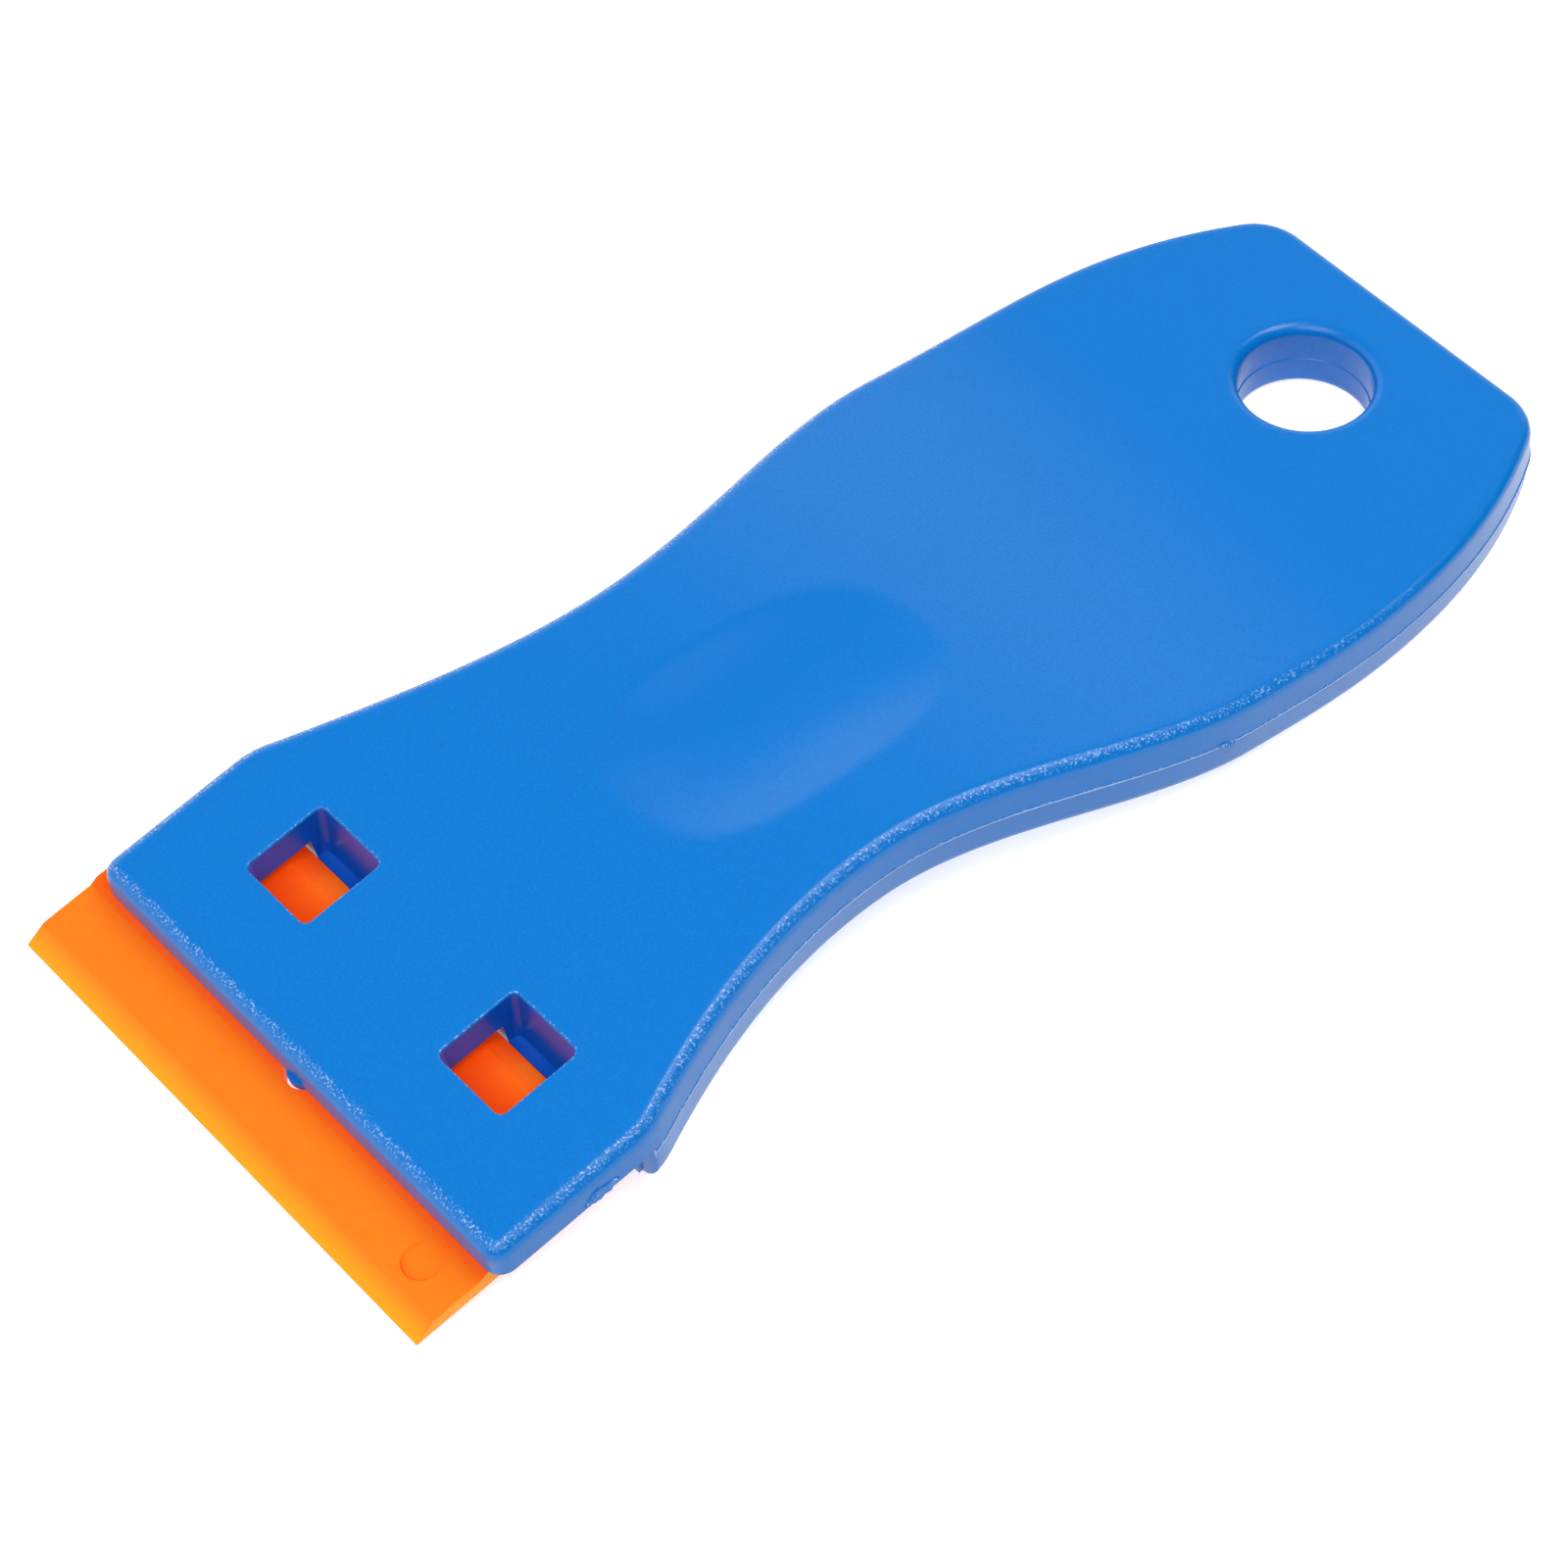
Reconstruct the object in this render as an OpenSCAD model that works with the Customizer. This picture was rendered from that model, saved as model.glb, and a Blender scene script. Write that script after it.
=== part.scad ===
// Plastic razor scraper: a moulded handle with a slot in its head, and a double-edged plastic blade.
// X runs from the blade to the tail, Z is up, and the tail lies flat on Z = 0.

/* [Handle plan] */
// Length of the handle from its front lip to its tail
handle_l = 92.4; // [86:0.1:120]
// Thickness of the handle
handle_t = 5.3; // [5:0.1:7]
// How far each side of the head stands out past the blade's end
head_side = 0.1; // [0.1:0.1:2]
// Length of the head's straight sides
head_l = 12; // [10:0.1:13]
// Angle at which the head's sides turn in towards the waist
shoulder_angle = 24; // [10:0.5:35]
// Width across the waist
waist_w = 28; // [24:0.1:34]
// Distance of the waist from the front lip
waist_x = 34; // [30:0.1:40]
// Width across the widest part of the grip
grip_w = 37.5; // [32:0.1:44]
// Distance of the widest part of the grip from the front lip
grip_x = 60.5; // [56:0.1:68]
// Width of the straight edge at the tail
tail_w = 20; // [14:0.1:24]
// Angle at which the sides draw in at the tail
tail_angle = 30; // [20:0.5:40]
// Radius of the tail's corners
tail_r = 4.2; // [2:0.1:6]

/* [Handle side] */
// Angle at which the flat head slopes down to the blade
head_pitch = 10.2; // [4:0.1:14]
// Distance of the top of the arch from the front lip
arch_x = 34; // [28:0.5:42]
// Height of the arch's underside above the tail's underside
arch_h = 3.95; // [3.5:0.05:6]
// Distance at which the arch has run out into the flat tail
arch_end = 73.5; // [64:0.5:75]
// Radius of the top edge
top_r = 1.1; // [0.4:0.1:1.5]
// Radius of the bottom edge
bottom_r = 0.8; // [0.4:0.1:1.2]
// Draft of the side walls, from the parting line to each edge
draft = 0.12; // [0:0.02:0.3]
// Radius of the head's front corners
front_r = 1.3; // [1.3:0.1:3]

/* [Thumb dish] */
// Distance of the dish's deepest point from the front lip
dish_x = 34.5; // [30:0.5:40]
// Length of the dish in front of its deepest point
dish_front = 9.2; // [7:0.1:12]
// Length of the dish behind its deepest point
dish_rear = 13.8; // [9:0.1:18]
// Width of the dish
dish_w = 13; // [9:0.5:17]
// Depth of the dish
dish_d = 0.9; // [0.3:0.1:1.4]

/* [Hang hole] */
// Diameter of the hang hole
hole_d = 9; // [6:0.1:12]
// Distance of the hang hole from the tail
hole_inset = 9.25; // [8:0.05:14]
// Radius of the hang hole's rims
hole_r = 0.8; // [0.3:0.1:1.2]

/* [Blade] */
// Width of the blade
blade_w = 39; // [34:0.1:45]
// Depth of the blade from edge to edge
blade_l = 16.6; // [15.5:0.1:17.5]
// How far the blade stands out of the front lip
blade_out = 5.65; // [5:0.05:6.5]
// Thickness of the blade's flats
blade_t = 1.0; // [0.8:0.05:1.1]
// Thickness of the blade's thicker spine
spine_t = 1.6; // [1.4:0.05:1.7]
// Width of the spine
spine_w = 5.2; // [4:0.1:7]
// Width of the slope from spine to flat
spine_step = 0.45; // [0.3:0.05:1]
// Width of the bevel at each edge
bevel_w = 1.45; // [0.8:0.05:2.2]
// Thickness left at each edge
edge_t = 0.2; // [0.1:0.05:0.4]
// Width of the blade's slot for the peg
slot_w = 3; // [2.4:0.1:3.6]

/* [Blade holder] */
// Thickness of the head's plate over the blade
plate_t = 2.35; // [2:0.05:2.6]
// Clearance over and under the blade
blade_gap = 0.12; // [0.05:0.01:0.2]
// Clearance behind the blade's rear edge
blade_stop_gap = 0.4; // [0.3:0.1:1]
// Distance of the windows from the front lip
window_x = 6.55; // [5.5:0.05:7.5]
// Length of each window along the handle
window_l = 6.05; // [5.5:0.05:7]
// Width of each window
window_w = 6; // [4:0.1:7]
// Distance of each window's middle from the handle's middle
window_y = 9.45; // [8:0.05:11]
// Radius of the windows' corners
window_r = 0.5; // [0.2:0.1:1]
// Radius of the lower half's front corners
seat_r = 1.2; // [0.5:0.1:2]
// Clearance at each side of the peg in the blade's slot
peg_side_gap = 0.33; // [0.2:0.01:0.5]
// How far the blade can go in before the peg stops it
peg_stop_gap = 0.1; // [0.05:0.01:0.3]
// Clearance under the peg as the blade's flat slides out below it
peg_gap = 0.15; // [0.1:0.01:0.25]

/* [Hidden] */

handle_blue = [0.02, 0.49, 0.85];
blade_orange = [1.0, 0.53, 0.14];
past = 1; // how far a cut runs past a face
flat_margin = 1.2; // how far the head stays flat behind the windows
peg_root = 0.4; // how far the peg's core reaches into the plate
peg_core = 0.6; // thickness of that core
station_step = 1.5; // spacing of the handle's cross-sections
corner_steps = 5; // steps round a corner
fillet_steps = 4; // steps round an edge
across_steps = 16; // steps across the top, where the dish is
shoulder_run = 1.2; // half the length over which the head's sides turn in
nudge = 0.01; // step over which a slope is measured
small_fn = 48; // segments round a small circle
hole_fn = 96; // segments round the hang hole

// The blade's place in the head: s is along the head's slope, h is square to it
plate_h = handle_t - plate_t;
blade_h = plate_h - blade_gap - spine_t;
tongue_h = blade_h - blade_gap;
blade_s = blade_l / 2 - blade_out;
seat_s = blade_l - blade_out + blade_stop_gap;
window_end = window_x + window_l;
slot_l = spine_w + 2 * spine_step;
peg_w = slot_w - 2 * peg_side_gap;
peg_s = blade_s - slot_l / 2 + peg_stop_gap + peg_w / 2;
peg_h = blade_h + blade_t + peg_gap;
head_w = blade_w + 2 * head_side;

// The origin is under the middle of the whole scraper, blade included
front_x = -blade_out * cos(head_pitch) - (blade_h + edge_t) * sin(head_pitch);
shift_x = -(front_x + handle_l) / 2;

// Value at x of the cubic that leaves a = [x, value, slope] and arrives at b
function cubic(x, a, b) =
    let (run = b[0] - a[0], t = (x - a[0]) / run)
    a[1] * (1 - 3 * t * t + 2 * t * t * t) + b[1] * (3 * t * t - 2 * t * t * t)
    + run * (a[2] * (t - 2 * t * t + t * t * t) + b[2] * (t * t * t - t * t));

// Half width of the handle in plan, between the front corner and the tail corner
turn_in = -tan(shoulder_angle);
draw_in = -tan(tail_angle);
tail_corner = [handle_l - tail_r, tail_w / 2];
side_end = tail_corner + tail_r * [sin(tail_angle), cos(tail_angle)];
shoulder_a = [head_l - shoulder_run, head_w / 2, 0];
shoulder_b = [head_l + shoulder_run, head_w / 2 + shoulder_run * turn_in, turn_in];
waist = [waist_x, waist_w / 2, 0];
grip = [grip_x, grip_w / 2, 0];
tail = [side_end[0], side_end[1], draw_in];
function half_width(x) =
    x < shoulder_a[0] ? head_w / 2
    : x < shoulder_b[0] ? cubic(x, shoulder_a, shoulder_b)
    : x < waist_x ? cubic(x, shoulder_b, waist)
    : x < grip_x ? cubic(x, waist, grip)
    : cubic(x, grip, tail);

// Height of the underside along the handle: flat head, arch, flat tail
head_flat = max(seat_s, window_end) + flat_margin;
climb = tan(head_pitch);
arch_start = [head_flat, head_flat * climb, climb];
arch_top = [arch_x, arch_h, 0];
function rise(x) =
    x < head_flat ? x * climb
    : x < arch_x ? cubic(x, arch_start, arch_top)
    : x < arch_end ? cubic(x, arch_top, [arch_end, 0, 0])
    : 0;
function slope(x) = (rise(x + nudge) - rise(x - nudge)) / (2 * nudge);

// Point at x along the handle, y across it and h above its underside
function place(x, y, h) =
    let (a = atan(slope(x)))
    [x - h * sin(a), y, rise(x) + h * cos(a)];

// Radius of the front corners, which can't be less than what the edges take off
corner_r = max(front_r, max(top_r, bottom_r) + draft + nudge);

// Stations along the handle: [x, half width, outward normal's x, outward normal's y]
function side_station(x) =
    let (run = (half_width(x + nudge) - half_width(x - nudge)) / (2 * nudge), n = sqrt(1 + run * run))
    [x, half_width(x), -run / n, 1 / n];
side_count = ceil((side_end[0] - corner_r) / station_step);
stations = concat(
    [for (i = [0 : corner_steps - 1])
        let (a = 90 * i / corner_steps)
        [corner_r * (1 - cos(a)), head_w / 2 - corner_r * (1 - sin(a)), -cos(a), sin(a)]],
    [for (i = [0 : side_count - 1]) side_station(corner_r + i * (side_end[0] - corner_r) / side_count)],
    [for (i = [0 : corner_steps])
        let (a = (90 - tail_angle) * (1 - i / corner_steps))
        [tail_corner[0] + tail_r * cos(a), tail_corner[1] + tail_r * sin(a), cos(a), sin(a)]]);

// Levels up the side wall: [inset from the widest outline, height]
levels = concat(
    [for (i = [0 : fillet_steps])
        let (a = 90 * i / fillet_steps)
        [draft + bottom_r * (1 - sin(a)), bottom_r * (1 - cos(a))]],
    [[0, handle_t / 2]],
    [for (i = [0 : fillet_steps])
        let (a = 90 * i / fillet_steps)
        [draft + top_r * (1 - cos(a)), handle_t - top_r * (1 - sin(a))]]);

// Depth of the thumb dish, steeper at its front than at its rear
function dish(x, y) =
    let (u = (x - dish_x) / (x < dish_x ? dish_front : dish_rear), v = 2 * y / dish_w,
         r = min(1, u * u + v * v))
    dish_d * (1 - r) * (1 - r * r / 2);

// Solid of the handle before anything is cut: rings up the wall, then rows across the top
module handle_skin() {
    n = len(stations);
    rings = [for (level = levels, side = [1, -1], i = [0 : n - 1])
        let (st = stations[side > 0 ? i : n - 1 - i])
        place(st[0] - level[0] * st[2], side * (st[1] - level[0] * st[3]), level[1])];
    top_inset = levels[len(levels) - 1][0];
    rows = [for (i = [1 : n - 2], j = [1 : across_steps - 1])
        let (st = stations[i], x = st[0] - top_inset * st[2],
             y = (st[1] - top_inset * st[3]) * (1 - 2 * j / across_steps))
        place(x, y, handle_t - dish(x, y))];
    top = (len(levels) - 1) * 2 * n;
    row = len(rings);
    function top_point(i, j) =
        j == 0 ? top + i : j == across_steps ? top + 2 * n - 1 - i : row + (i - 1) * (across_steps - 1) + j - 1;
    wall = [for (k = [0 : len(levels) - 2], i = [0 : 2 * n - 1])
        let (a = k * 2 * n + i, b = k * 2 * n + (i + 1) % (2 * n))
        each [[a, b, b + 2 * n], [a, b + 2 * n, a + 2 * n]]];
    underside = [for (i = [0 : n - 2])
        let (a = i, b = i + 1, c = 2 * n - 2 - i, d = 2 * n - 1 - i)
        each [[a, c, b], [a, d, c]]];
    upper = [for (i = [1 : n - 3], j = [0 : across_steps - 1])
        let (a = top_point(i, j), b = top_point(i + 1, j),
             c = top_point(i + 1, j + 1), d = top_point(i, j + 1))
        each [[a, b, c], [a, c, d]]];
    middle = across_steps / 2;
    ends = [for (j = [0 : across_steps - 1])
        let (end = j < middle ? 0 : across_steps)
        each [[top_point(0, end), top_point(1, j), top_point(1, j + 1)],
              [top_point(n - 2, j), top_point(n - 1, end), top_point(n - 2, j + 1)]]];
    end_middles = [
        [top_point(0, 0), top_point(1, middle), top_point(0, across_steps)],
        [top_point(n - 2, middle), top_point(n - 1, 0), top_point(n - 1, across_steps)]];
    polyhedron(concat(rings, rows), concat(wall, underside, upper, ends, end_middles));
}

// Frame of the sloping head: X along it, Z square to it
module on_head() {
    rotate([0, -head_pitch, 0]) children();
}

// Tongues that hold the blade up against the plate, each right under a window
module tongues() {
    for (side = [-1, 1])
        translate([window_x, side * window_y - window_w / 2, -past])
            cube([seat_s - window_x + past, window_w, tongue_h + past]);
}

// What is cut away in front of the handle's lower half, up to the plate
module blade_space() {
    difference() {
        translate([-handle_t, -head_w, -handle_t])
            cube([handle_t + seat_s, 2 * head_w, handle_t + plate_h]);
        tongues();
    }
    for (side = [-1, 1])
        translate([seat_s, side * half_width(seat_s), -handle_t])
            seat_corner(side);
}

// Rounds off one front corner of the lower half
module seat_corner(side) {
    linear_extrude(handle_t + plate_h) difference() {
        translate([-past, side > 0 ? -seat_r : -past]) square([seat_r + past, seat_r + past]);
        translate([seat_r, -side * seat_r]) circle(seat_r, $fn = small_fn);
    }
}

// Rectangle with round corners, by its middle
module rounded_rectangle(l, w, r) {
    square([l - 2 * r, w], center = true);
    square([l, w - 2 * r], center = true);
    for (x = [-1, 1], y = [-1, 1])
        translate([x * (l / 2 - r), y * (w / 2 - r)]) circle(r, $fn = small_fn);
}

module windows() {
    for (side = [-1, 1])
        translate([window_x + window_l / 2, side * window_y, tongue_h])
            linear_extrude(handle_t) rounded_rectangle(window_l, window_w, window_r);
}

// Round peg under the front lip, which stops the blade as its slot's front end reaches it
module peg() {
    translate([peg_s, 0, peg_h]) cylinder(h = plate_h - peg_h, d = peg_w, $fn = small_fn);
    translate([peg_s, 0, peg_h]) cylinder(h = plate_h - peg_h + peg_root, d = peg_core, $fn = small_fn);
}

// Hang hole with rounded rims
module hang_hole() {
    r = hole_d / 2;
    translate([handle_l - hole_inset, 0, 0]) {
        translate([0, 0, -past]) cylinder(h = handle_t + 2 * past, r = r, $fn = hole_fn);
        for (flip = [0, 1])
            translate([0, 0, flip * handle_t]) mirror([0, 0, flip])
                rotate_extrude($fn = hole_fn) difference() {
                    translate([0, -past]) square([r + hole_r, past + hole_r]);
                    translate([r + hole_r, hole_r]) circle(hole_r, $fn = small_fn);
                }
    }
}

module handle() {
    color(handle_blue) translate([shift_x, 0, 0]) {
        difference() {
            handle_skin();
            on_head() blade_space();
            on_head() windows();
            hang_hole();
        }
        on_head() peg();
    }
}

// Half of the blade's section, from its middle to one edge
function blade_side(d) = [
    [d * spine_w / 2, spine_t],
    [d * (spine_w / 2 + spine_step), blade_t],
    [d * (blade_l / 2 - bevel_w), blade_t],
    [d * blade_l / 2, edge_t],
    [d * blade_l / 2, 0]];

module blade_section() {
    right = blade_side(1);
    left = blade_side(-1);
    polygon(concat(left, [for (i = [len(right) - 1 : -1 : 0]) right[i]]));
}

// Slot through the spine for the peg, round at both ends
module peg_slot() {
    for (d = [-1, 1])
        translate([d * (slot_l - slot_w) / 2, 0, -past])
            cylinder(h = spine_t + 2 * past, d = slot_w, $fn = small_fn);
    translate([-(slot_l - slot_w) / 2, -slot_w / 2, -past])
        cube([slot_l - slot_w, slot_w, spine_t + 2 * past]);
}

module blade() {
    color(blade_orange) translate([shift_x, 0, 0]) on_head() translate([blade_s, 0, blade_h])
        difference() {
            rotate([90, 0, 0]) linear_extrude(blade_w, center = true) blade_section();
            peg_slot();
        }
}

handle();
blade();
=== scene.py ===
import math

import bpy
import numpy as np
from mathutils import Matrix, Vector


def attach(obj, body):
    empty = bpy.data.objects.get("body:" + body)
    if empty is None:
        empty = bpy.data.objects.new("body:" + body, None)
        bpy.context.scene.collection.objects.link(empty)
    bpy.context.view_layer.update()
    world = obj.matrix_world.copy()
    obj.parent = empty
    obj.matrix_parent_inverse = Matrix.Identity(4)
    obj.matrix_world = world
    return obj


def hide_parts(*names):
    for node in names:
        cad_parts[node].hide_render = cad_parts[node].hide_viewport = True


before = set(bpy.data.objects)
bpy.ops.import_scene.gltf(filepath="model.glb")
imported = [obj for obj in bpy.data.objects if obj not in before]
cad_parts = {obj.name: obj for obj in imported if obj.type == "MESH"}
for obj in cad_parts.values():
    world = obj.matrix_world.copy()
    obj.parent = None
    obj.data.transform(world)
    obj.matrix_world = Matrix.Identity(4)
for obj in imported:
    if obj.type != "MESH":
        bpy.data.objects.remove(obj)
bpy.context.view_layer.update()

# Handle
# One injection moulding in blue polypropylene, with a fine spark-eroded grain on its outside.
# The mould's halves met half-way up the side wall, where they left a thin line of flash. The head, the
# windows, the tongues under them, the peg, the arch, the thumb dish and the hang hole are all in this piece.
MM = 0.001
handle_l, handle_t, head_w, head_l = 92.4, 5.3, 39.2, 12.0
shoulder_angle, shoulder_run = math.radians(24), 1.2
waist = (34.0, 14.0, 0.0)  # distance from the lip, half width, slope
grip = (60.5, 18.75, 0.0)
tail_w, tail_angle, tail_r = 20.0, math.radians(30), 4.2
head_pitch, head_flat = math.radians(10.2), 13.8
arch_top, arch_end = (34.0, 3.95, 0.0), (73.5, 0.0, 0.0)  # distance from the lip, height, slope
front_r, bottom_r, draft = 1.3, 0.8, 0.12
head_edge_r, tail_edge_r = 1.1, 0.75  # the top edge is rounder on the head than on the tail
edge_from, edge_to = 45, 80  # where its radius changes, measured from the lip
flash_out, flash_h = 0.05, 0.09  # line of flash along the side wall
dish_x, dish_y, dish_front, dish_rear, dish_half_w, dish_d = 34.5, -0.9, 9.6, 13.2, 7.2, 1.0
dish_blunt = 2.7  # its outline is fuller than an ellipse, which would be 2
shift_x = -43.293  # from the lip to the middle of the whole scraper

turn_in, draw_in = -math.tan(shoulder_angle), -math.tan(tail_angle)
side_end = (handle_l - tail_r + tail_r * math.sin(tail_angle), tail_w / 2 + tail_r * math.cos(tail_angle))
shoulder_a = (head_l - shoulder_run, head_w / 2, 0.0)
shoulder_b = (head_l + shoulder_run, head_w / 2 + shoulder_run * turn_in, turn_in)
arch_start = (head_flat, head_flat * math.tan(head_pitch), math.tan(head_pitch))


def cubic(x, a, b):
    """The cubic that leaves a = (x, value, slope) and arrives at b."""
    run = b[0] - a[0]
    t = (x - a[0]) / run
    bend = run * (a[2] * (t - 2 * t**2 + t**3) + b[2] * (t**3 - t**2))
    return a[1] * (1 - 3 * t**2 + 2 * t**3) + b[1] * (3 * t**2 - 2 * t**3) + bend


def half_width(x):
    """Half the handle's width in plan."""
    x = np.asarray(x, float)
    return np.select(
        [x < shoulder_a[0], x < shoulder_b[0], x < waist[0], x < grip[0]],
        [np.full_like(x, head_w / 2), cubic(x, shoulder_a, shoulder_b), cubic(x, shoulder_b, waist),
         cubic(x, waist, grip)],
        cubic(x, grip, (*side_end, draw_in)))


def rise(x):
    """Height of the underside: flat head, arch, flat tail."""
    x = np.asarray(x, float)
    return np.select(
        [x < head_flat, x < arch_top[0], x < arch_end[0]],
        [x * math.tan(head_pitch), cubic(x, arch_start, arch_top), cubic(x, arch_top, arch_end)], 0.0)


def slope(f, x):
    nudge = 0.01
    return (f(x + nudge) - f(x - nudge)) / (2 * nudge)


def place(x, y, h):
    """Points x along the handle, y across it and h above its underside."""
    a = np.arctan(slope(rise, x))
    return np.stack([x - h * np.sin(a), y + 0 * x, rise(x) + h * np.cos(a)], -1)


def dish(x, y):
    """Depth of the thumb dish, steeper at its front than at its rear."""
    u = (x - dish_x) / np.where(x < dish_x, dish_front, dish_rear)
    v = (y - dish_y) / dish_half_w
    r = np.minimum(1, (np.abs(u) ** dish_blunt + np.abs(v) ** dish_blunt) ** (2 / dish_blunt))
    return dish_d * (1 - r) * (1 - r**2 / 3)


def edge_r(x):
    """Radius of the top edge."""
    return head_edge_r + (tail_edge_r - head_edge_r) * np.clip((x - edge_from) / (edge_to - edge_from), 0, 1)


def on_head(points):
    """Points given along the sloping head, across it and square to it."""
    s, y, h = np.asarray(points, float).T
    c, n = math.cos(head_pitch), math.sin(head_pitch)
    return np.stack([s * c - h * n, y, s * n + h * c], -1)


def on_handle(points):
    return place(*np.asarray(points, float).T)


def solid(name, points, faces):
    """A mesh object from points in millimetres measured from the lip."""
    mesh = bpy.data.meshes.new(name)
    mesh.from_pydata(((np.asarray(points, float) + (shift_x, 0, 0)) * MM).tolist(), [], faces)
    piece = bpy.data.objects.new(name, mesh)
    bpy.context.scene.collection.objects.link(piece)
    return piece


def bands(rings, n):
    """Faces between rings of n points each, facing out where the rings run clockwise seen from the last."""
    return [(k * n + i, (k + 1) * n + i, (k + 1) * n + (i + 1) % n, k * n + (i + 1) % n)
            for k in range(rings - 1) for i in range(n)]


def stack(name, rings, frame_of=on_head):
    """A closed solid from rings of as many points each, whichever way round they run."""
    n, total = len(rings[0]), len(rings) * len(rings[0])
    faces = bands(len(rings), n) + [tuple(range(n)), tuple(range(total - 1, total - n - 1, -1))]
    piece = solid(name, frame_of(np.concatenate([np.asarray(ring, float) for ring in rings])), faces)
    co = [v.co for v in piece.data.vertices]
    volume = sum(co[f[0]].dot(co[f[i]].cross(co[f[i + 1]])) for f in faces for i in range(1, len(f) - 1))
    if volume < 0:
        piece.data.flip_normals()
    return piece


def prism(name, outline, low, high):
    """An outline along and across the head, from one height to another."""
    return stack(name, [[(s, y, h) for s, y in outline] for h in (low, high)])


def block(name, s, y, h):
    return prism(name, [(s[0], y[0]), (s[1], y[0]), (s[1], y[1]), (s[0], y[1])], *h)


def arc(middle_s, middle_y, r, first, last, steps):
    turns = np.radians(np.linspace(first, last, steps))
    return [(middle_s + r * math.cos(a), middle_y + r * math.sin(a)) for a in turns]


def turned_solid(name, middle_s, profile, steps, frame_of=on_head, middle_y=0):
    """A round solid from the heights and radii of its profile."""
    last = 360 - 360 / steps
    return stack(name, [[(s, y, h) for s, y in arc(middle_s, middle_y, r, 0, last, steps)]
                        for h, r in profile], frame_of)


def carve(piece, tools, kind="DIFFERENCE"):
    """Cuts the tools out of a piece, or joins them on, and removes them."""
    for tool in tools:
        step = piece.modifiers.new("step", "BOOLEAN")
        step.operation, step.solver, step.object = kind, "MANIFOLD", tool
    shaped = piece.evaluated_get(bpy.context.evaluated_depsgraph_get())
    piece.data = bpy.data.meshes.new_from_object(shaped)
    piece.modifiers.clear()
    for tool in tools:
        bpy.data.objects.remove(tool)


# Outline in plan on the +Y side: x, half width, and the outward normal
station, corner_steps, tail_steps = 0.45, 9, 15
quarter_turn = np.radians(np.linspace(0, 90, corner_steps))
corner = quarter_turn[:-1]
along = np.arange(front_r, side_end[0], station)
run = slope(half_width, along)
turn = (math.pi / 2 - tail_angle) * np.linspace(1, 0, tail_steps)
side = np.concatenate([
    np.stack([front_r * (1 - np.cos(corner)), head_w / 2 - front_r * (1 - np.sin(corner)),
              -np.cos(corner), np.sin(corner)], 1),
    np.stack([along, half_width(along), -run / np.hypot(1, run), 1 / np.hypot(1, run)], 1),
    np.stack([handle_l - tail_r * (1 - np.cos(turn)), tail_w / 2 + tail_r * np.sin(turn),
              np.cos(turn), np.sin(turn)], 1)])
rows, across = len(side), 72
spread = np.linspace(1, -1, across + 1)

# The rim of the top and of the underside, once round: +Y side, tail, -Y side, front
cells = [(i, 0) for i in range(rows)] + [(rows - 1, j) for j in range(1, across)]
cells += [(i, across) for i in range(rows - 1, -1, -1)] + [(0, j) for j in range(across - 1, 0, -1)]
i, j = np.array(cells).T
end = (i == 0) | (i == rows - 1)
rim_x, rim_y = side[i, 0], side[i, 1] * spread[j]
rim_nx = np.where(end, np.where(i == 0, -1, 1), side[i, 2])
rim_ny = np.where(end, 0, side[i, 3] * spread[j])

# The side wall's levels, from the underside up: how far in each lies, and how high
top_edge_steps = 11
flash_foot, flash_root = (2.2, 0.012), (1, 0.003)  # height in thicknesses of the flash, and how far in
flash_tip = (0.5, -flash_out)
upper_flash = (flash_tip, flash_root, flash_foot)
flash_profile = [(-up, inset) for up, inset in upper_flash[::-1]] + list(upper_flash)
levels = [(draft + bottom_r * (1 - math.sin(a)), bottom_r * (1 - math.cos(a)) + 0 * rim_x)
          for a in quarter_turn]
levels += [(inset, handle_t / 2 + up * flash_h + 0 * rim_x) for up, inset in flash_profile]
levels += [(draft + edge_r(rim_x) * (1 - math.cos(a)), handle_t - edge_r(rim_x) * (1 - math.sin(a)))
           for a in np.radians(np.linspace(0, 90, top_edge_steps))]
points = [place(rim_x - inset * rim_nx, rim_y - inset * rim_ny, h) for inset, h in levels]
faces = bands(len(levels), len(cells))

# The underside and the top with its dish, as grids inside the rim
used = len(levels) * len(cells)
inner = [(i, j) for i in range(1, rows - 1) for j in range(1, across)]
i, j = np.array(inner).T
for top in (False, True):
    inset = draft + (edge_r(side[i, 0]) if top else bottom_r)
    x, y = side[i, 0] - inset * side[i, 2], (side[i, 1] - inset * side[i, 3]) * spread[j]
    points.append(place(x, y, handle_t - dish(x, y) if top else 0 * x))
    number = {cell: k + top * (len(levels) - 1) * len(cells) for k, cell in enumerate(cells)}
    number.update({cell: k + used for k, cell in enumerate(inner)})
    used += len(inner)
    for row in range(rows - 1):
        for col in range(across):
            face = [number[c] for c in ((row, col), (row + 1, col), (row + 1, col + 1), (row, col + 1))]
            faces.append(face[::-1] if top else face)
handle = solid("handle_moulding", np.concatenate(points), faces)

# Blade space, tongues and windows, in the sloping head
plate_h, tongue_h, seat_s, seat_corner_s, seat_r = 2.95, 1.11, 11.05, 11.35, 1.2
window_x, window_l, window_w, window_y, window_r = 6.55, 6.05, 6.0, 9.45, 0.5
window_edge_r, tongue_side = 0.18, 0.05
window_lean = math.tan(math.radians(10))  # of the rear wall, which opens upwards
tiny = 0.004  # keeps two faces from lying in one plane
past, past_side, overlap = 6, 30, 1  # how far cutters reach out of the head, beside it and into each other
rim_steps, seat_steps, window_steps = 8, 14, 9
tongue_half_w = window_w / 2 - tongue_side
window_middle = window_x + window_l / 2


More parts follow.
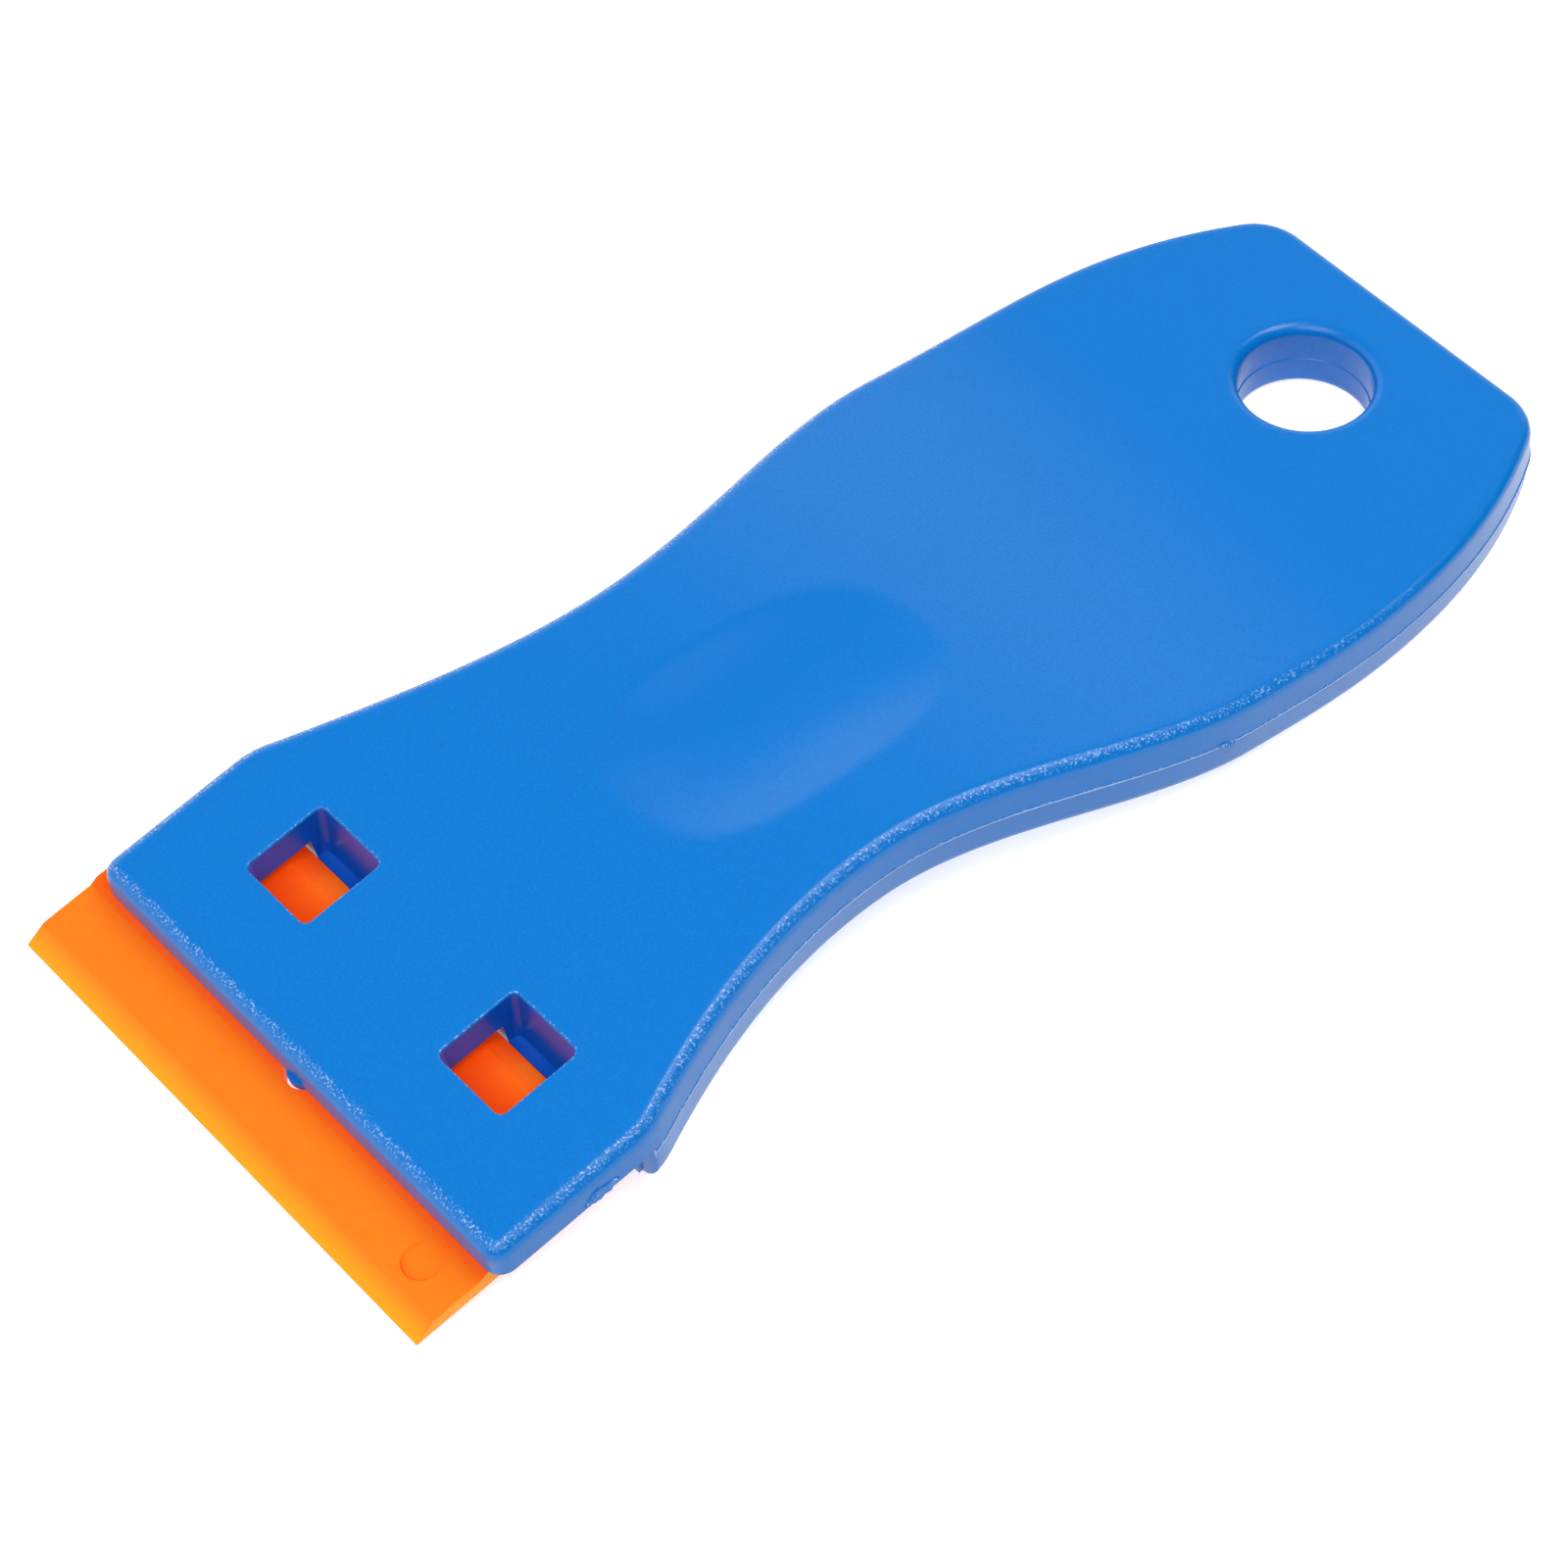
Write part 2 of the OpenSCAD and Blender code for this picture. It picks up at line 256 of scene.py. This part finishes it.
def rounded_rim(r, rounding):
    """Heights and radii of the rounded rim of an opening in the handle's top."""
    return [(handle_t - rounding * (1 - math.sin(a)) + tiny, r + rounding * (1 - math.cos(a)))
            for a in np.radians(np.linspace(0, 90, rim_steps))]


def window_ring(flank, h, out):
    """The outline of a window at one height, wider all round by what its rounded rim opens there."""
    ring = []
    for quarter, (ds, dy) in enumerate(((1, 1), (-1, 1), (-1, -1), (1, -1))):
        lean = window_lean * max(0, handle_t - h) if ds > 0 else 0
        corner_s = window_middle + ds * (window_l / 2 - window_r) - lean
        corner_y = flank * window_y + dy * (window_w / 2 - window_r)
        ring += arc(corner_s, corner_y, window_r + out, 90 * quarter, 90 * quarter + 90, window_steps)
    return [(s, y, h) for s, y in ring]


blade_space = block("blade_space", (-past, seat_s), (-past_side, past_side), (-past, plate_h))
carve(blade_space, [
    block("tongue", (window_x, seat_s + overlap), (m - tongue_half_w, m + tongue_half_w),
          (-past - overlap, tongue_h)) for m in (-window_y, window_y)])
tools = [blade_space]
seat_half_w = float(half_width(seat_corner_s * math.cos(head_pitch)))
for flank in (-1, 1):
    shape = [(seat_s - overlap, seat_half_w - seat_r)]
    shape += arc(seat_corner_s + seat_r, seat_half_w - seat_r, seat_r, 180, 90, seat_steps)
    shape += [(seat_corner_s + seat_r, seat_half_w + overlap), (seat_s - overlap, seat_half_w + overlap)]
    tools.append(prism("seat_corner", [(s, flank * y) for s, y in shape], -past, plate_h - tiny))
    profile = [(tongue_h + tiny, 0)] + rounded_rim(0, window_edge_r) + [(handle_t + overlap, window_edge_r)]
    tools.append(stack("window", [window_ring(flank, h, out) for h, out in profile]))

# Hang hole with rounded rims and a line of flash in its bore
hole_x, hole_r, hole_edge_r, hole_flash_h, hole_steps = 83.15, 4.5, 0.8, 2.4, 144
hole_flash = ((-0.1, 0.02), (-0.04, 0.08), (0.04, 0.08), (0.1, 0.02))  # height from its line, how far in
upper_rim = rounded_rim(hole_r, hole_edge_r)
profile = [(-overlap, hole_r + hole_edge_r)] + [(handle_t - h, r) for h, r in upper_rim[::-1]]
profile += [(hole_flash_h + up, hole_r - inward) for up, inward in hole_flash]
profile += upper_rim + [(handle_t + overlap, hole_r + hole_edge_r)]
tools.append(turned_solid("hang_hole", hole_x, profile, hole_steps, on_handle))
carve(handle, tools)

# Peg under the lip
peg_s, peg_h, peg_r, peg_chamfer, peg_steps = 0.87, 2.38, 1.17, 0.08, 48
root_r, root_l = 0.3, 0.4  # its thinner end, which stays inside the plate
profile = [(peg_h, peg_r - peg_chamfer), (peg_h + peg_chamfer, peg_r), (plate_h + tiny, peg_r),
           (plate_h + tiny, root_r), (plate_h + root_l, root_r)]
tools = [turned_solid("peg", peg_s, profile, peg_steps)]

# The stub where the sprue was torn off, on the near side of the head
chance = np.random.default_rng(7)
stub_s, stub_l, stub_sections, stub_end, stub_ragged = 6.6, 2.8, 14, 0.1, 0.1
stub_inside, stub_top_inside, stub_least_h, stub_round = 0.4, 0.25, 0.25, 0.12


def torn(least, more):
    return least + more * chance.random()


rings = []
for s in np.linspace(stub_s + stub_end, stub_s + stub_l - stub_end, stub_sections):
    full = math.sin(math.pi * (s - stub_s) / stub_l) ** 0.5
    out = full * torn(0.08, 0.14)
    low = plate_h + torn(0.02, 0.15)
    high = plate_h + stub_least_h + full * torn(0.35, 0.35)
    section = ((stub_inside, low), (-out * 0.5, low), (-out, low + stub_round),
               (-out * 0.7, (low + high) / 2),
               (-out * 0.8, high - stub_round), (stub_top_inside, high))
    rings.append([(s + stub_ragged * chance.random(), -head_w / 2 + y, h) for y, h in section])
tools.append(stack("sprue_stub", rings))

# A flake of flash on the near side of the grip
flake_x, flake_l, flake_out, flake_inside, flake_tilt, flake_sections = 57.0, 1.6, 0.3, 0.2, 0.1, 9
rings = []
for t in np.linspace(0, 1, flake_sections):
    full = math.sin(math.pi * (0.06 + 0.88 * t)) * torn(0.75, 0.25)
    x, h = flake_x + flake_l * t, handle_t / 2 + flake_tilt * (1 - 2 * t)
    y = -float(half_width(x))
    rings.append([(x, y + flake_inside, h - 0.1), (x, y - 0.16 * full, h - 0.08 * full),
                  (x, y - flake_out * full, h), (x, y - 0.14 * full, h + 0.12 * full),
                  (x, y + flake_inside, h + 0.14)])
tools.append(stack("flash_flake", rings, on_handle))
carve(handle, tools, "UNION")


def smooth(piece, angle):
    """Shades a piece as a moulding: round where it turns softly, crisp at its edges."""
    piece.data.polygons.foreach_set("use_smooth", [True] * len(piece.data.polygons))
    piece.data.set_sharp_from_angle(angle=math.radians(angle))
    even = piece.modifiers.new("even_normals", "WEIGHTED_NORMAL")
    even.keep_sharp, even.weight = True, 60


smooth(handle, angle=36)


def new_node(tree, kind, **values):
    """A node with its settings, and its inputs by name."""
    made = tree.nodes.new(kind)
    for name, value in values.items():
        if hasattr(made, name):
            setattr(made, name, value)
        else:
            made.inputs[name.replace("_", " ")].default_value = value
    return made


def feed(tree, socket, term):
    """Gives an input the output of another node, or a plain value."""
    if isinstance(term, bpy.types.NodeSocket):
        tree.links.new(term, socket)
    else:
        socket.default_value = term


def calc(tree, operation, *terms):
    """The result of a sum on numbers and outputs."""
    made = new_node(tree, "ShaderNodeMath", operation=operation)
    for socket, term in zip(made.inputs, terms):
        feed(tree, socket, term)
    return made.outputs[0]


def remap(tree, value, low, high, to_low=0, to_high=1, way="LINEAR"):
    """A value from low to high, turned into one from to_low to to_high."""
    made = new_node(tree, "ShaderNodeMapRange", interpolation_type=way,
                    From_Min=low, From_Max=high, To_Min=to_low, To_Max=to_high)
    feed(tree, made.inputs["Value"], value)
    return made.outputs[0]


def ramp(tree, value, *stops):
    """A colour that follows a value through stops, each a place and a colour."""
    made = new_node(tree, "ShaderNodeValToRGB")
    elements = made.color_ramp.elements
    elements[0].position, elements[0].color = stops[0]
    elements[1].position, elements[1].color = stops[-1]
    for spot, colour in stops[1:-1]:
        elements.new(spot).color = colour
    feed(tree, made.inputs["Fac"], value)
    return made.outputs["Color"]


def grey(level):
    return (level, level, level, 1)


def mixed(tree, share, first, second):
    """The first colour, or the second as its share goes to 1."""
    made = new_node(tree, "ShaderNodeMix", data_type="RGBA")
    first_colour, second_colour, mixed_colour = made.inputs[6], made.inputs[7], made.outputs[2]
    feed(tree, made.inputs["Factor"], share)
    feed(tree, first_colour, first)
    feed(tree, second_colour, second)
    return mixed_colour


def axes_of(tree, vector):
    """A vector's X, Y and Z."""
    made = new_node(tree, "ShaderNodeSeparateXYZ")
    feed(tree, made.inputs["Vector"], vector)
    return made.outputs


def new_group(name, inputs, outputs):
    group = bpy.data.node_groups.new(name, "ShaderNodeTree")
    for label, kind, value in inputs:
        group.interface.new_socket(label, in_out="INPUT", socket_type=kind).default_value = value
    for label, kind in outputs:
        group.interface.new_socket(label, in_out="OUTPUT", socket_type=kind)
    return group, group.nodes.new("NodeGroupInput"), group.nodes.new("NodeGroupOutput")


# Grain that the spark-eroded mould leaves: rounded pits on a fine unevenness, with specks at its peaks
pit_share, speck_from, speck_to = 0.25, 0.54, 0.64
grain, given, result = new_group("moulded_grain", [("Scale", "NodeSocketFloat", 4000)],
                                 [("Height", "NodeSocketFloat"), ("Speck", "NodeSocketFloat")])
where = new_node(grain, "ShaderNodeTexCoord")
fine = new_node(grain, "ShaderNodeTexNoise", Detail=3, Roughness=0.6)
pits = new_node(grain, "ShaderNodeTexVoronoi", feature="SMOOTH_F1")
for sink in (fine, pits):
    feed(grain, sink.inputs["Vector"], where.outputs["Object"])
    feed(grain, sink.inputs["Scale"], given.outputs["Scale"])
pitted = calc(grain, "MULTIPLY_ADD", pits.outputs["Distance"], pit_share, fine.outputs["Fac"])
feed(grain, result.inputs["Height"], pitted)
feed(grain, result.inputs["Speck"], remap(grain, fine.outputs["Fac"], speck_from, speck_to))

# Uneven pigment: broad, faint clouds, lighter and darker than the colour
cloud, given, result = new_group("pigment_cloud", [
    ("Colour", "NodeSocketColor", (1, 1, 1, 1)), ("Amount", "NodeSocketFloat", 0.05),
    ("Scale", "NodeSocketFloat", 60)], [("Colour", "NodeSocketColor")])
where = new_node(cloud, "ShaderNodeTexCoord")
drift = new_node(cloud, "ShaderNodeTexNoise", Detail=4, Roughness=0.55, Distortion=0.6)
tint = new_node(cloud, "ShaderNodeHueSaturation")
feed(cloud, drift.inputs["Vector"], where.outputs["Object"])
feed(cloud, drift.inputs["Scale"], given.outputs["Scale"])
off_mean = calc(cloud, "SUBTRACT", drift.outputs["Fac"], 0.5)
feed(cloud, tint.inputs["Value"], calc(cloud, "MULTIPLY_ADD", off_mean, given.outputs["Amount"], 1))
feed(cloud, tint.inputs["Color"], given.outputs["Colour"])
feed(cloud, result.inputs["Colour"], tint.outputs["Color"])


def plastic(name, colour, grain_scale, grain_depth, grain_shading, rough, shine):
    """A moulded plastic in a clouded colour, with its grain in the bump and the gloss, and in the tone as
    painted shade in its pits and painted light on their rims.
    """
    pit_floor, pit_rim = 0.35, 0.85  # of the grain's height
    duller, glossier = 0.05, 0.08  # between the specks, and on them
    material = bpy.data.materials.new(name)
    material.use_nodes = True
    tree = material.node_tree
    shader = tree.nodes["Principled BSDF"]
    tone = new_node(tree, "ShaderNodeGroup", name="tone", node_tree=cloud, Colour=(*colour, 1))
    skin = new_node(tree, "ShaderNodeGroup", name="skin", node_tree=grain, Scale=grain_scale)
    surface = new_node(tree, "ShaderNodeHueSaturation", name="surface")
    bump = new_node(tree, "ShaderNodeBump", name="bump", Distance=grain_depth * MM)
    # Painted shade and light: the grain's pits are painted darker and its rims lighter.
    pit_shading = remap(tree, skin.outputs["Height"], pit_floor, pit_rim, 1 - grain_shading, 1 + grain_shading)
    gloss = remap(tree, skin.outputs["Speck"], 0, 1, rough + duller, rough - glossier)
    feed(tree, surface.inputs["Value"], pit_shading)
    feed(tree, surface.inputs["Color"], tone.outputs["Colour"])
    feed(tree, bump.inputs["Height"], skin.outputs["Height"])
    feed(tree, shader.inputs["Base Color"], surface.outputs["Color"])
    feed(tree, shader.inputs["Normal"], bump.outputs["Normal"])
    feed(tree, shader.inputs["Roughness"], gloss)
    feed(tree, shader.inputs["Specular IOR Level"], shine)
    return material


# The outside: the grain stands out on the rounded edges, where its peaks are painted as pale specks, painted
# highlights for glints
blue, glint_blue = (0.0016, 0.2, 0.67), (0.5, 0.7, 0.95, 1)
hand_from, hand_to, hand_worn = -25 * MM, 20 * MM, 0.4  # towards the tail the hand has polished the grain
glints_from, glints_to = 20 * MM, 34 * MM  # the specks end on the way to the hang hole
grained = plastic("blue_grained", blue, grain_scale=6200, grain_depth=0.08, grain_shading=0.12,
                  rough=0.22, shine=0.42)
tree = grained.node_tree
where = new_node(tree, "ShaderNodeTexCoord")
along_x = axes_of(tree, where.outputs["Object"])["X"]
upward = axes_of(tree, where.outputs["Normal"])["Z"]  # 0 on the side wall, 1 on the flat top
crisp = ramp(tree, upward, (0.45, grey(0.12)), (0.7, grey(0.5)), (0.92, grey(0.5)), (0.97, grey(0.12)))
worn = remap(tree, along_x, hand_from, hand_to, 1, hand_worn)
feed(tree, tree.nodes["bump"].inputs["Strength"], calc(tree, "MULTIPLY", crisp, worn))
# Painted highlight: the pale specks on the rounded edges stand in for glints, and they end before the hang
# hole.
glint_band = ramp(tree, upward, (0.55, grey(0)), (0.75, grey(0.6)), (0.92, grey(0.75)), (0.97, grey(0.008)))
peaks = calc(tree, "MULTIPLY", glint_band, tree.nodes["skin"].outputs["Speck"])
painted_glints = calc(tree, "MULTIPLY", peaks, remap(tree, along_x, glints_from, glints_to, 1, 0))
glinted = mixed(tree, painted_glints, tree.nodes["surface"].outputs["Color"], glint_blue)
feed(tree, tree.nodes["Principled BSDF"].inputs["Base Color"], glinted)

# The windows' walls and the peg are polished, and painted a deeper blue as painted shade
# The flash is painted pale, unevenly so, as painted light that the thin fin lets through and catches.
window_shade_blue, flash_lit_blue = (0.0018, 0.11, 0.62), (0.5, 0.68, 0.92)
polished = plastic("blue_polished_shaded", window_shade_blue, grain_scale=2500, grain_depth=0.002, grain_shading=0.03,
                   rough=0.2, shine=0.45)
flash = plastic("blue_flash_lit", flash_lit_blue, grain_scale=2500, grain_depth=0.01, grain_shading=0.2,
                rough=0.3, shine=0.4)
feed(flash.node_tree, flash.node_tree.nodes["tone"].inputs["Amount"], 1.2)
feed(flash.node_tree, flash.node_tree.nodes["tone"].inputs["Scale"], 220)
handle.data.materials.clear()
for material in (grained, polished, flash):
    handle.data.materials.append(material)
on_outside, on_polished_shaded, on_lit_flash = range(3)


def skin_of(face):
    """Which of the three blues a face of the handle has."""
    margin, steep = 0.1, 0.6
    x, y, z = face.center / MM
    x -= shift_x
    s = x * math.cos(head_pitch) + z * math.sin(head_pitch)
    h = z * math.cos(head_pitch) - x * math.sin(head_pitch)
    # The window walls and the peg take the deeper blue of painted shade.
    in_length = abs(s - window_middle) < window_l / 2 + margin
    if in_length and abs(abs(y) - window_y) < window_w / 2 + margin:
        return on_polished_shaded if tongue_h / 2 < h < handle_t - window_edge_r else on_outside
    if math.hypot(s - peg_s, y) < peg_r + margin and h < plate_h:
        return on_polished_shaded
    # The flash takes the pale blue of painted light.
    foot_x = x + handle_t / 2 * math.sin(math.atan(slope(rise, x)))
    height = (z - rise(foot_x)) / math.cos(math.atan(slope(rise, foot_x)))
    flash_here = abs(height - handle_t / 2) < flash_h / 3 and abs(face.normal.z) < steep
    return on_lit_flash if flash_here else on_outside


skins = [skin_of(face) for face in handle.data.polygons]
handle.data.polygons.foreach_set("material_index", skins)
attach(handle, "handle")
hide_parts("handle")

# Blade
# A double-edged scraper blade moulded in orange, slightly see-through plastic: a flat strip with a bevel at
# each edge and a thicker spine. It is pushed in under the plate until its slot meets the peg.
blade_w, blade_l, blade_t, spine_t = 39.0, 16.6, 1.0, 1.3
spine_w, spine_step, bevel_w, edge_t, slot_w = 5.2, 0.45, 1.45, 0.2, 3.0
blade_s, blade_h = 2.65, 1.23
blade_side, slot_side = 1.2, 0.32  # how far it, and its slot within the peg's play, lie to the far side
step_round, bevel_round, end_round = 0.08, 0.25, 0.05
slot_steps, mark_steps = 25, 64

flat_s, bevel_s, tip_s = spine_w / 2 + spine_step, blade_l / 2 - bevel_w, blade_l / 2
half_section = [(0, spine_t), (spine_w / 2 - step_round, spine_t), (spine_w / 2 + 0.03, spine_t - 0.06),
                (flat_s - 0.05, blade_t + 0.04), (flat_s + step_round, blade_t),
                (bevel_s - bevel_round, blade_t), (bevel_s, blade_t - 0.03),
                (bevel_s + bevel_round, blade_t - 0.15), (tip_s - 0.04, edge_t),
                (tip_s, edge_t - end_round), (tip_s, end_round), (tip_s - end_round, 0)]
section = np.array(half_section + [(-s, h) for s, h in half_section[:0:-1]])
half_w = blade_w / 2
ends = [(-half_w, end_round), (-half_w + end_round, 0), (half_w - end_round, 0), (half_w, end_round)]
rings = []
for y, inset in ends:
    s, h = section.T
    shrunk = np.clip(h, inset * (h > 0), None) - inset * (h > edge_t)
    rings.append(np.stack([blade_s + s * (1 - inset / tip_s), 0 * s + y + blade_side,
                           blade_h + np.where(h == 0, inset, shrunk)], 1))
blade = stack("scraper_blade", rings)
slot_end = (spine_w + 2 * spine_step - slot_w) / 2
slot = arc(blade_s + slot_end, slot_side, slot_w / 2, -90, 90, slot_steps)
slot += arc(blade_s - slot_end, slot_side, slot_w / 2, 90, 270, slot_steps)
mark_s, mark_y, mark_r, mark_d = -2.09, -14.74, 1.35, 0.08  # left by the pin that pushed it out of its mould
mark_draft, above = 0.06, 3
profile = [(blade_h + blade_t - mark_d, mark_r - mark_draft), (blade_h + blade_t + tiny, mark_r),
           (blade_h + above, mark_r)]
pin_mark = turned_solid("pin_mark", mark_s, profile, mark_steps, middle_y=mark_y)
carve(blade, [prism("slot", slot, blade_h - overlap, blade_h + above), pin_mark])
smooth(blade, angle=30)

# Its plastic lets light through, so its colour follows its thickness and how open each place is, as painted
# light and shade
orange, deep_shade_orange = (0.72, 0.235, 0.013), (0.68, 0.135, 0.003, 1)
thin_yellow, shade_red = (0.74, 0.46, 0.01, 1), (0.62, 0.055, 0.003, 1)
# Painted light: the blade gives off a steady red glow whatever lights it, standing in for its pigment's
# fluorescence.
painted_glow_red = (1, 0.05, 0, 1)  # how the pigment glows in daylight
deep_shade_to, plain_from = (flat_s - 0.1) / tip_s, (flat_s + 0.06) / tip_s  # shares of the way to an edge
thinnest = 0.99
shaded_below, open_above, through_power = 0.48, 0.94, 3
smooth_orange = plastic("orange_smooth", orange, grain_scale=1500, grain_depth=0.003, grain_shading=0.03,
                        rough=0.28, shine=0.15)
tree = smooth_orange.node_tree
shader = tree.nodes["Principled BSDF"]
for name, value in (("Subsurface Weight", 0.3), ("Subsurface Radius", (1.0, 0.35, 0.1)),
                    ("Subsurface Scale", 1.5 * MM), ("Emission Color", painted_glow_red), ("Emission Strength", 0.4)):
    feed(tree, shader.inputs[name], value)
where = new_node(tree, "ShaderNodeTexCoord")
along_head = new_node(tree, "ShaderNodeVectorMath", operation="DOT_PRODUCT")
feed(tree, along_head.inputs[0], where.outputs["Object"])
feed(tree, along_head.inputs[1], (math.cos(head_pitch), 0, math.sin(head_pitch)))
blade_middle = (blade_s + shift_x * math.cos(head_pitch)) * MM
off_middle = calc(tree, "SUBTRACT", along_head.outputs["Value"], blade_middle)
share = calc(tree, "DIVIDE", calc(tree, "ABSOLUTE", off_middle), tip_s * MM)
# The thicker the plastic, the deeper its colour, and on the spine by the lip this deeper colour is also
# painted shade of the lip
by_thickness_and_lip_shade = ramp(tree, share, (deep_shade_to, deep_shade_orange), (plain_from, (*orange, 1)))
# The occlusion looks towards the open side of the head, and the end faces count as open
end_face = calc(tree, "ABSOLUTE", axes_of(tree, where.outputs["Normal"])["Y"])
forward = new_node(tree, "ShaderNodeCombineXYZ", X=-0.7, Z=0.7)
open_air = new_node(tree, "ShaderNodeAmbientOcclusion", samples=8, Distance=4 * MM)
feed(tree, open_air.inputs["Normal"], forward.outputs[0])
lit = calc(tree, "MAXIMUM", remap(tree, open_air.outputs["AO"], shaded_below, open_above), end_face)
# Light comes through the thin edges where they are in the open, and in the shade only red is left of it
thin = calc(tree, "MAXIMUM", remap(tree, share, bevel_s / tip_s, thinnest), end_face)
through = calc(tree, "MULTIPLY", thin, calc(tree, "POWER", lit, through_power))
yellowed = mixed(tree, through, by_thickness_and_lip_shade, thin_yellow)
feed(tree, tree.nodes["tone"].inputs["Colour"], mixed(tree, lit, shade_red, yellowed))
blade.data.materials.clear()
blade.data.materials.append(smooth_orange)
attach(blade, "blade")
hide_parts("blade")

# Table and light
# A plain table that looks white to the camera and in gloss and keeps the scraper's shadow. In front of the
# blade it falls away as the head slopes, so that the blade can slide out over it. Two soft lamps hang over
# the near side, a ceiling lamp that gloss doesn't show hangs above, and a white backdrop stands behind.
table_z, fall_x, fall_l, table_half = -0.05 * MM, -49.2 * MM, 40 * MM, 2
table_paint, table_glow = grey(0.8), 0.72
table_mesh = bpy.data.meshes.new("table")
low_z = table_z - fall_l * math.tan(head_pitch)
lines = [(-table_half, low_z), (fall_x - fall_l, low_z), (fall_x, table_z), (table_half, table_z)]
table_mesh.from_pydata([(x, y, z) for x, z in lines for y in (-table_half, table_half)], [],
                       [(2 * k, 2 * k + 2, 2 * k + 3, 2 * k + 1) for k in range(len(lines) - 1)])
table = bpy.data.objects.new("table", table_mesh)
bpy.context.scene.collection.objects.link(table)
white = bpy.data.materials.new("white_table")
white.use_nodes = True
tree = white.node_tree
tree.nodes.clear()
paint = new_node(tree, "ShaderNodeBsdfDiffuse", Color=table_paint)
glow = new_node(tree, "ShaderNodeEmission")
path = new_node(tree, "ShaderNodeLightPath")
both = new_node(tree, "ShaderNodeAddShader")
out = new_node(tree, "ShaderNodeOutputMaterial")
seen = calc(tree, "MAXIMUM", path.outputs["Is Camera Ray"], path.outputs["Is Glossy Ray"])
feed(tree, glow.inputs["Strength"], calc(tree, "MULTIPLY", seen, table_glow))
feed(tree, both.inputs[0], paint.outputs[0])
feed(tree, both.inputs[1], glow.outputs[0])
feed(tree, out.inputs["Surface"], both.outputs[0])
table_mesh.materials.append(white)

room = bpy.data.worlds.new("room")
bpy.context.scene.world = room
room.use_nodes = True
tree = room.node_tree
background = tree.nodes["Background"]
background.inputs["Color"].default_value = grey(1)
where = new_node(tree, "ShaderNodeTexCoord")
path = new_node(tree, "ShaderNodeLightPath")
aim = axes_of(tree, where.outputs["Generated"])
backdrop_white, top_from, top_to, side_from, side_to = 0.95, 0.45, 0.78, -0.1, 0.3
low_part = remap(tree, aim["Z"], top_from, top_to, backdrop_white, 0, way="SMOOTHSTEP")
far_part = remap(tree, aim["Y"], side_from, side_to, way="SMOOTHSTEP")
backdrop = calc(tree, "MULTIPLY", low_part, far_part)
feed(tree, background.inputs["Strength"], calc(tree, "MAXIMUM", backdrop, path.outputs["Is Camera Ray"]))

# Each lamp's name, place and size in metres, power, and whether gloss shows it
for name, spot, sizes, power, in_gloss in (("strip_lamp", (0.18, -0.17, 0.57), (0.36, 0.18), 1.5, True),
                                           ("front_lamp", (-0.3, -0.2, 0.45), (0.4, 0.4), 1.6, True),
                                           ("ceiling", (0, 0, 0.9), (1.6, 1.6), 3.8, False)):
    softbox = bpy.data.lights.new(name, "AREA")
    softbox.shape, softbox.size, softbox.size_y, softbox.energy = "RECTANGLE", *sizes, power
    lamp = bpy.data.objects.new(name, softbox)
    lamp.location = spot
    lamp.rotation_euler = lamp.location.to_track_quat("Z", "Y").to_euler()
    lamp.visible_glossy = in_gloss
    bpy.context.scene.collection.objects.link(lamp)

# Camera
# It stands where the photograph was taken from, above the near front corner.
# Its angles, and its place in millimetres from the lip, were fitted to the photograph.
azimuth, elevation, roll = math.radians(-39.013), math.radians(50.370), math.radians(-1.982)
stand_x, stand_y, stand_z = -89.34, -156.87, 243.43
focal_length, film_width, nearest = 115.18, 36, 0.01
level_part = math.cos(elevation)
back = Vector((math.sin(azimuth) * level_part, -math.cos(azimuth) * level_part, math.sin(elevation)))
right = Vector((math.cos(azimuth), math.sin(azimuth), 0))
up = back.cross(right)
rolled_right = right * math.cos(roll) + up * math.sin(roll)
rolled_up = up * math.cos(roll) - right * math.sin(roll)
turned = Matrix((rolled_right, rolled_up, back)).transposed().to_4x4()
lens = bpy.data.cameras.new("camera")
lens.lens, lens.sensor_width, lens.clip_start = focal_length, film_width, nearest
camera = bpy.data.objects.new("camera", lens)
camera.matrix_world = Matrix.Translation(Vector((stand_x + shift_x, stand_y, stand_z)) * MM) @ turned
bpy.context.scene.collection.objects.link(camera)
bpy.context.scene.camera = camera
bpy.context.scene.view_settings.view_transform = "Standard"
